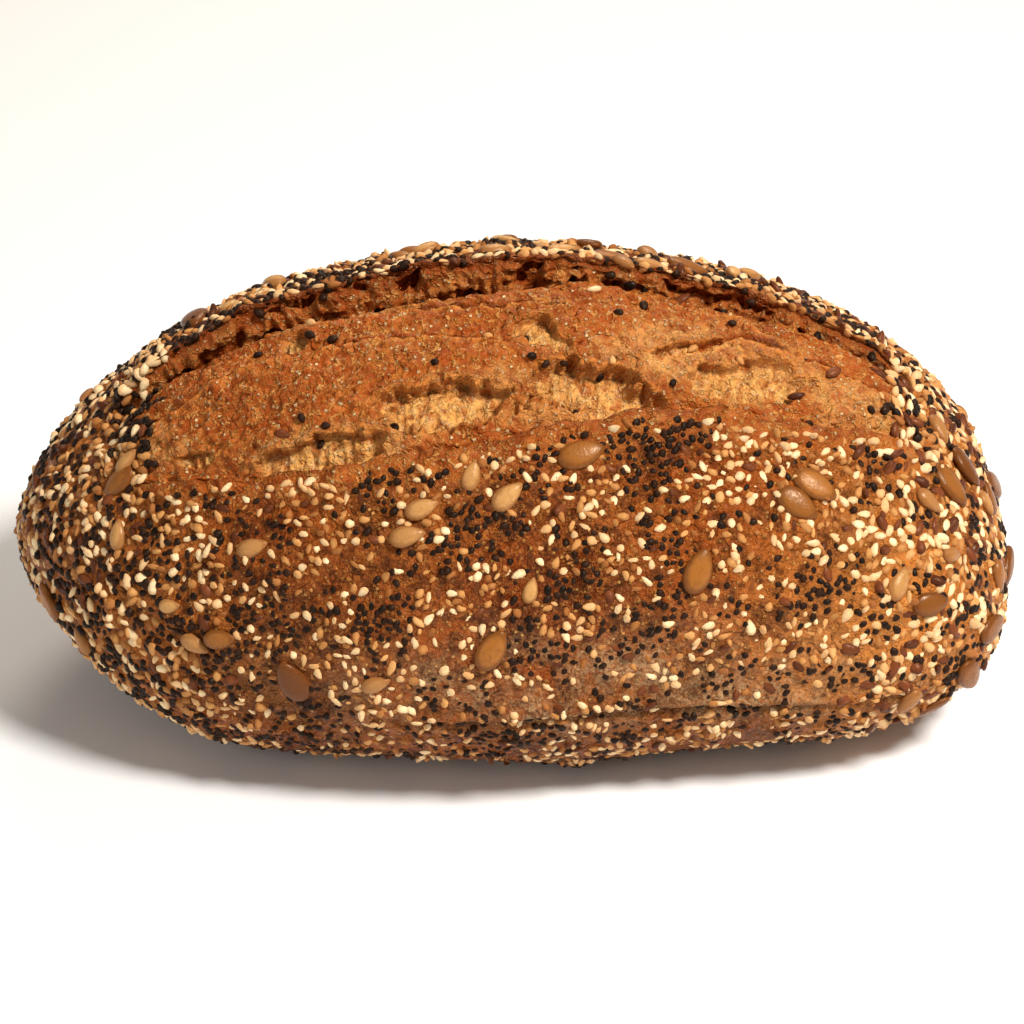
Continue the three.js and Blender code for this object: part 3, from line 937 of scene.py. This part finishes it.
class Scatter:
    """Where each seed goes: none overlaps another by more than a little."""

    def __init__(self, pieces, seed, amount):
        self.random = np.random.default_rng(seed)
        self.amount, self.grid = amount, {}
        self.found = {kind: [] for kind in (*SMALL_SEEDS, *LARGE_SEEDS)}
        places, normals, quads, points = [], [], [], 0
        for piece, crust in pieces:
            count = len(crust.along)
            places.append(read_points(piece.data)[:count] / MM)
            normals.append(unit(read_points(piece.data, "normal")[:count]) + 0.8 * crust.outwards)
            corners = np.array([p.vertices[:] for p in piece.data.polygons if len(p.vertices) == 4])
            from_lowest = (corners.argmin(1)[:, None] + np.arange(4)) % 4
            corners = np.take_along_axis(corners, from_lowest, 1)
            quads.append(corners[(corners < count).all(1)] + points)
            points += count
        crusts = [crust for _, crust in pieces]
        self.dough = crusts[0].dough
        self.places, self.quads = np.concatenate(places), np.concatenate(quads)
        self.normals = unit(np.concatenate(normals))
        for name in ("along", "turn", "past_lip", "past_ear", "in_bloom", "open", "hollow", "outwards"):
            setattr(self, name, np.concatenate([getattr(c, name) for c in crusts]))
        on_bloom = np.concatenate([np.full(len(c.along), c.is_bloom) for c in crusts])
        self.shown = on_bloom == (self.in_bloom & (self.open > (JOINS_FROM + JOINS_TO) / 2))
        a, b, c, d = (self.places[self.quads[:, i]] for i in range(4))
        areas = np.linalg.norm(np.cross(c - a, d - b), axis=1) / 2
        self.shares = np.cumsum(areas) / areas.sum()

    def cells(self, place, spread):
        """The grid cells within spread of a place."""
        spans = (range(int((c - spread) // CELL), int((c + spread) // CELL) + 1) for c in place)
        return itertools.product(*spans)

    def crowded(self, place, reach):
        for cell in self.cells(place, reach):
            for other, other_reach in self.grid.get(cell, ()):
                if math.dist(place, other) < reach + other_reach:
                    return True
        return False

    def put(self, kind, place, normal, spin, sizes, tone, grown=1.0):
        length, width, thickness, _ = sizes
        reach = ELBOW_ROOM * (length + width) / 2
        place = tuple(place)
        if self.crowded(place, reach):
            return False
        for cell in self.cells(place, reach):
            self.grid.setdefault(cell, []).append((place, reach))
        large = length >= LARGE_FROM
        size = grown * np.clip(self.random.normal(1, SIZE_SPREAD), *SIZE_LIMITS)
        tilt = self.random.normal(0, TILT_LARGE if large else TILT, 2)
        proud = thickness * self.random.uniform(*PROUD) * (PROUD_LARGE if large else 1)
        side = unit(np.cross(normal, (1.0, 0.0, 0.0)) + 1e-6)
        ahead = np.cross(side, normal)
        basis = Matrix((ahead, side, normal)).transposed().to_4x4()
        leaned = Matrix.Rotation(tilt[0], 4, "X") @ Matrix.Rotation(tilt[1], 4, "Y")
        turned = basis @ Matrix.Rotation(spin, 4, "Z") @ leaned
        centre = (Vector(place) + Vector(normal) * proud) * MM
        reaches_down = math.hypot(*(size * share * across / 2 for share, across in zip(turned[2], sizes)))
        centre.z = max(centre.z, CLEAR_OF_GROUND * reaches_down * MM)
        matrix = Matrix.Translation(centre) @ turned @ Matrix.Diagonal((size, size, size, 1))
        self.found[kind].append((matrix, tone))
        return True

    def place_by_hand(self):
        rows = ((kind, *row) for kind, placed in PLACED.items() for row in placed)
        for kind, along, turn, points in rows:
            x, y = offsets(self, along, turn)
            nearest = int(np.argmin(x**2 + y**2 + TOO_FAR * ~self.shown))
            self.put(kind, self.places[nearest], self.outwards[nearest], math.radians(points),
                     LARGE_SEEDS[kind], self.random.uniform(0, 0.6) + 0.4 * (along > 0.6))

    def draw(self, count):
        """Random places spread evenly over the crust: position, normal and nearest vertex."""
        picked = self.quads[np.searchsorted(self.shares, self.random.random(count))]
        u, v = self.random.random((2, count))
        weights = np.stack([(1 - u) * (1 - v), u * (1 - v), u * v, (1 - u) * v], -1)[..., None]
        places = (self.places[picked] * weights).sum(1)
        normals = unit((self.normals[picked] * weights).sum(1))
        return places, normals, picked[:, 0]

    def cover(self, near, places):
        """How thickly each place is seeded, from 0 to 1."""
        along, turn = self.along[near], self.turn[near]
        front = ramp(-turn, 38, 55) * (1 - ramp(np.abs(along), 0.55, 0.8))
        thick = lerp(1.2, 0.46, front)
        low_front = hill(along - 0.25, 0.45) * hill(turn + 93, 10)
        thick = thick * (1 - 0.45 * low_front)
        thick = thick + front * (0.85 * lumps(places, 14, 71) + 0.5 * lumps(places, 5, 75))
        under = np.abs(turn) - SOLE_SHRINKS * along**6 + 14 * lumps(places, 11, 76)
        thick = np.clip(thick, 0, 1.2) * (1 - ramp(under, 116, 146))
        past_lip = self.past_lip[near]
        bare_lip = np.where(past_lip <= 0, ramp(-past_lip, 1.2, 6), 1)
        bare_ear = np.where(self.in_bloom[near], 1, ramp(np.abs(self.past_ear[near]), 0.4, 1.8))
        thick = thick * lerp(1, bare_lip * bare_ear, self.open[near])
        thick = np.where(self.in_bloom[near], lerp(thick, 0.0035, self.open[near]), thick)
        thick = thick * (1 - ramp(self.hollow[near], 0.25, 0.5))
        return thick * self.amount * self.shown[near]

    def scatter_large(self):
        places, _, near = self.draw(4000)
        cover = self.cover(near, places)
        wanted = MORE_LARGE * self.amount
        for i in range(len(places)):
            if wanted <= 0:
                break
            keep = cover[i] > self.random.random()
            ends = abs(self.along[near[i]]) > 0.55 or self.turn[near[i]] > 0
            if keep and places[i][2] > 8 and (ends or self.random.random() < 0.3):
                kind = "sunflower" if self.random.random() < 0.65 else "pumpkin"
                spin = self.random.uniform(0, 2 * math.pi)
                outwards = self.outwards[near[i]]
                wanted -= self.put(kind, places[i], outwards, spin, LARGE_SEEDS[kind], self.random.random())

    def scatter_small(self):
        places, normals, near = self.draw(TRIES)
        cover = self.cover(near, places)
        along = self.along[near]
        clusters = lumps(places, 17, 72) + 0.6 * lumps(places, 7, 73)
        mixed = np.maximum(ramp(self.turn[near], -30, 0), ramp(np.abs(along), 0.5, 0.8))
        dark = np.clip(0.42 + lerp(1.1, 0.45, mixed) * clusters, 0.05, 0.9)
        dark = dark * (1 - 0.3 * ramp(along, 0.55, 0.85))
        dark = lerp(dark, 0.7, self.in_bloom[near] * ramp(self.open[near], 0.7, 1))
        brown = np.clip(0.06 + 0.12 * ramp(along, 0.3, 0.8), 0, 1)
        toasted = np.clip(0.36 + 0.2 * lumps(places, 30, 74), 0.1, 0.7)
        draws = self.random.random((TRIES, 5))
        for i in range(TRIES):
            if draws[i, 0] > cover[i] or places[i][2] < 1.5:
                continue
            if draws[i, 1] < brown[i]:
                kind = "flax"
            elif draws[i, 1] < brown[i] + (1 - brown[i]) * dark[i]:
                kind = "sesame_black"
            else:
                kind = "sesame_toasted" if draws[i, 2] < toasted[i] else "sesame_pale"
            spin = draws[i, 3] * 2 * math.pi
            grown = lerp(0.98, 1.18, mixed[i])
            self.put(kind, places[i], normals[i], spin, SMALL_SEEDS[kind], draws[i, 4] ** 1.7, grown)


def sow_by_quarter(kind, found, material):
    """The seeds of one kind as four pieces, one for each quarter of the loaf."""
    for side, end in itertools.product(("front", "back"), ("left", "right")):
        quarter = (side == "back", end == "right")
        places = [matrix.translation for matrix, _ in found]
        inside = [(place.y >= 0, place.x >= 0) == quarter for place in places]
        sow(kind, f"{kind}_{side}_{end}", list(itertools.compress(found, inside)), material)


def sow(kind, name, found, material):
    """Some of the seeds of one kind, as one piece."""
    if len(found) > MOST_SEEDS:
        raise RuntimeError(f"{name}: {len(found)} seeds are too many for one piece")
    length, width, thickness, pointed = {**SMALL_SEEDS, **LARGE_SEEDS}[kind]
    fineness = FINE if kind in LARGE_SEEDS else COARSE
    shape = seed_shape(kind, length, width, thickness, pointed, fineness, RIMMED.get(kind, 0))
    corners = np.abs(read_points(shape)) / MM
    ends, sides = corners[:, 0] / (length / 2), corners[:, 1] / (width / 2)
    bm = bmesh.new()
    for matrix, _ in found:
        one = shape.copy()
        one.transform(matrix)
        bm.from_mesh(one)
        bpy.data.meshes.remove(one)
    piece = new_object(name, bm)
    tones = [tone for _, tone in found]
    write_attribute(piece.data, "tone", np.repeat(tones, len(shape.vertices)))
    write_attribute(piece.data, "tip", np.tile(ends**4, len(found)))
    write_attribute(piece.data, "edge", np.tile(np.hypot(ends, sides), len(found)))
    piece.data.materials.append(material)
    bpy.data.meshes.remove(shape)
    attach(piece, "root")
    return piece


# Operators

BAKED = {}


class LOAF_OT_crust(bpy.types.Operator):
    """Bake the crust and the bloom that opened under its score"""

    bl_idname = "loaf.crust"
    bl_label = "Bake Crust"

    def execute(self, context):
        sizes = context.scene.loaf_crust
        finish = crust_finish(sizes)
        BAKED["crust"] = bake_crust(sizes)
        BAKED["bloom"] = lay_bloom(sizes)
        for piece, _ in BAKED.values():
            piece.data.materials.append(finish)
            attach(piece, "root")
        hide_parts("loaf")
        return {"FINISHED"}


class LOAF_OT_seeds(bpy.types.Operator):
    """Scatter the seeds over the crust, large ones first"""

    bl_idname = "loaf.seeds"
    bl_label = "Scatter Seeds"

    def execute(self, context):
        if len(BAKED) < 2:
            raise RuntimeError("bake the crust and lay the bloom before the seeds")
        look = context.scene.loaf_seeds
        scatter = Scatter([BAKED["crust"], BAKED["bloom"]], look.seed, look.amount)
        scatter.place_by_hand()
        scatter.scatter_large()
        scatter.scatter_small()
        finishes = {
            "sesame_pale": (look.pale, look.toasted, *DULL),
            "sesame_toasted": (look.toasted, linear(150, 88, 40), *DULL),
            "sesame_black": (look.black, linear(46, 24, 13), *DULL),
            "flax": (look.flax, linear(72, 34, 18), *SLEEK),
            "sunflower": (look.sunflower, linear(146, 90, 44), *POLISHED),
            "pumpkin": (look.pumpkin, linear(104, 56, 20), *POLISHED),
        }
        for kind, finish in finishes.items():
            sow_by_quarter(kind, scatter.found[kind], seed_finish(kind + " seed", *finish))
        return {"FINISHED"}


def area_light(name, place, target, size, power, colour):
    data = bpy.data.lights.new(name, "AREA")
    data.shape = "DISK"
    data.size = size
    data.energy = power
    data.color = colour
    light = bpy.data.objects.new(name, data)
    light.location = place
    light.rotation_euler = (Vector(target) - Vector(place)).to_track_quat("-Z", "Y").to_euler()
    bpy.context.scene.collection.objects.link(light)


class LOAF_OT_stage(bpy.types.Operator):
    """Set the plain floor, the soft lights and the camera"""

    bl_idname = "loaf.stage"
    bl_label = "Set Stage"

    def execute(self, context):
        scene, look = context.scene, context.scene.loaf_stage
        scene.view_settings.view_transform = "Standard"
        self.floor(look)
        self.lights(scene)
        self.camera(scene, look)
        return {"FINISHED"}

    def floor(self, look):
        bm = bmesh.new()
        bmesh.ops.create_grid(bm, x_segments=1, y_segments=1, size=FLOOR_SIZE)
        floor = new_object("floor", bm, smooth=False)
        paper = Finish("studio floor", 0.9, 0.2)
        tone = paper.layers(look.floor, (paper.between(paper.noise(0.5, 2), 0.3, 0.7, 0, 0.02), FLOOR_SHADE))
        floor.data.materials.append(paper.finish(tone))

    def lights(self, scene):
        world = bpy.data.worlds.new("studio")
        world.use_nodes = True
        sky = world.node_tree.nodes["Background"]
        sky.inputs["Color"].default_value = (1, 0.95, 0.88, 1)
        sky.inputs["Strength"].default_value = 0.22
        scene.world = world
        middle = (0, 0, AIM_HEIGHT)
        area_light("key", (0.5, -0.45, 0.95), middle, size=0.26, power=15.5, colour=(1, 0.97, 0.93))
        area_light("fill", (-0.9, -0.8, 0.6), middle, size=0.8, power=2.4, colour=(1, 1, 1))
        area_light("back", (0.1, 0.9, 0.9), middle, size=0.6, power=6, colour=(1, 0.88, 0.74))

    def camera(self, scene, look):
        data = bpy.data.cameras.new("camera")
        data.lens = LENS
        camera = bpy.data.objects.new("camera", data)
        scene.collection.objects.link(camera)
        away = Vector((
            math.sin(look.swing) * math.cos(look.elevation),
            -math.cos(look.swing) * math.cos(look.elevation),
            math.sin(look.elevation),
        ))
        right = Vector((math.cos(look.swing), math.sin(look.swing), 0))
        up = away.cross(right)
        target = Vector((0, 0, AIM_HEIGHT)) - up * AIM_LOWER + right * AIM_RIGHT
        camera.location = target + away * look.distance
        camera.rotation_euler = away.to_track_quat("Z", "Y").to_euler()
        scene.camera = camera


class LOAF_PT_panel(bpy.types.Panel):
    """Lists what the loaf is made from"""

    bl_label = "Seeded Loaf"
    bl_idname = "LOAF_PT_panel"
    bl_space_type = "VIEW_3D"
    bl_region_type = "UI"
    bl_category = "Loaf"

    def draw(self, context):
        for group, operator in (
            (context.scene.loaf_crust, "loaf.crust"),
            (context.scene.loaf_seeds, "loaf.seeds"),
            (context.scene.loaf_stage, "loaf.stage"),
        ):
            for name in group.__annotations__:
                self.layout.prop(group, name)
            self.layout.operator(operator)


CLASSES = (
    LoafCrust, LoafSeeds, LoafStage, LOAF_OT_crust, LOAF_OT_seeds, LOAF_OT_stage, LOAF_PT_panel,
)
GROUPS = {"loaf_crust": LoafCrust, "loaf_seeds": LoafSeeds, "loaf_stage": LoafStage}


def register():
    for each in CLASSES:
        bpy.utils.register_class(each)
    for name, group in GROUPS.items():
        setattr(bpy.types.Scene, name, bpy.props.PointerProperty(type=group))


def unregister():
    for name in GROUPS:
        delattr(bpy.types.Scene, name)
    for each in reversed(CLASSES):
        bpy.utils.unregister_class(each)


def main():
    register()
    bpy.ops.loaf.crust()
    bpy.ops.loaf.seeds()
    bpy.ops.loaf.stage()


if __name__ == "__main__":
    main()
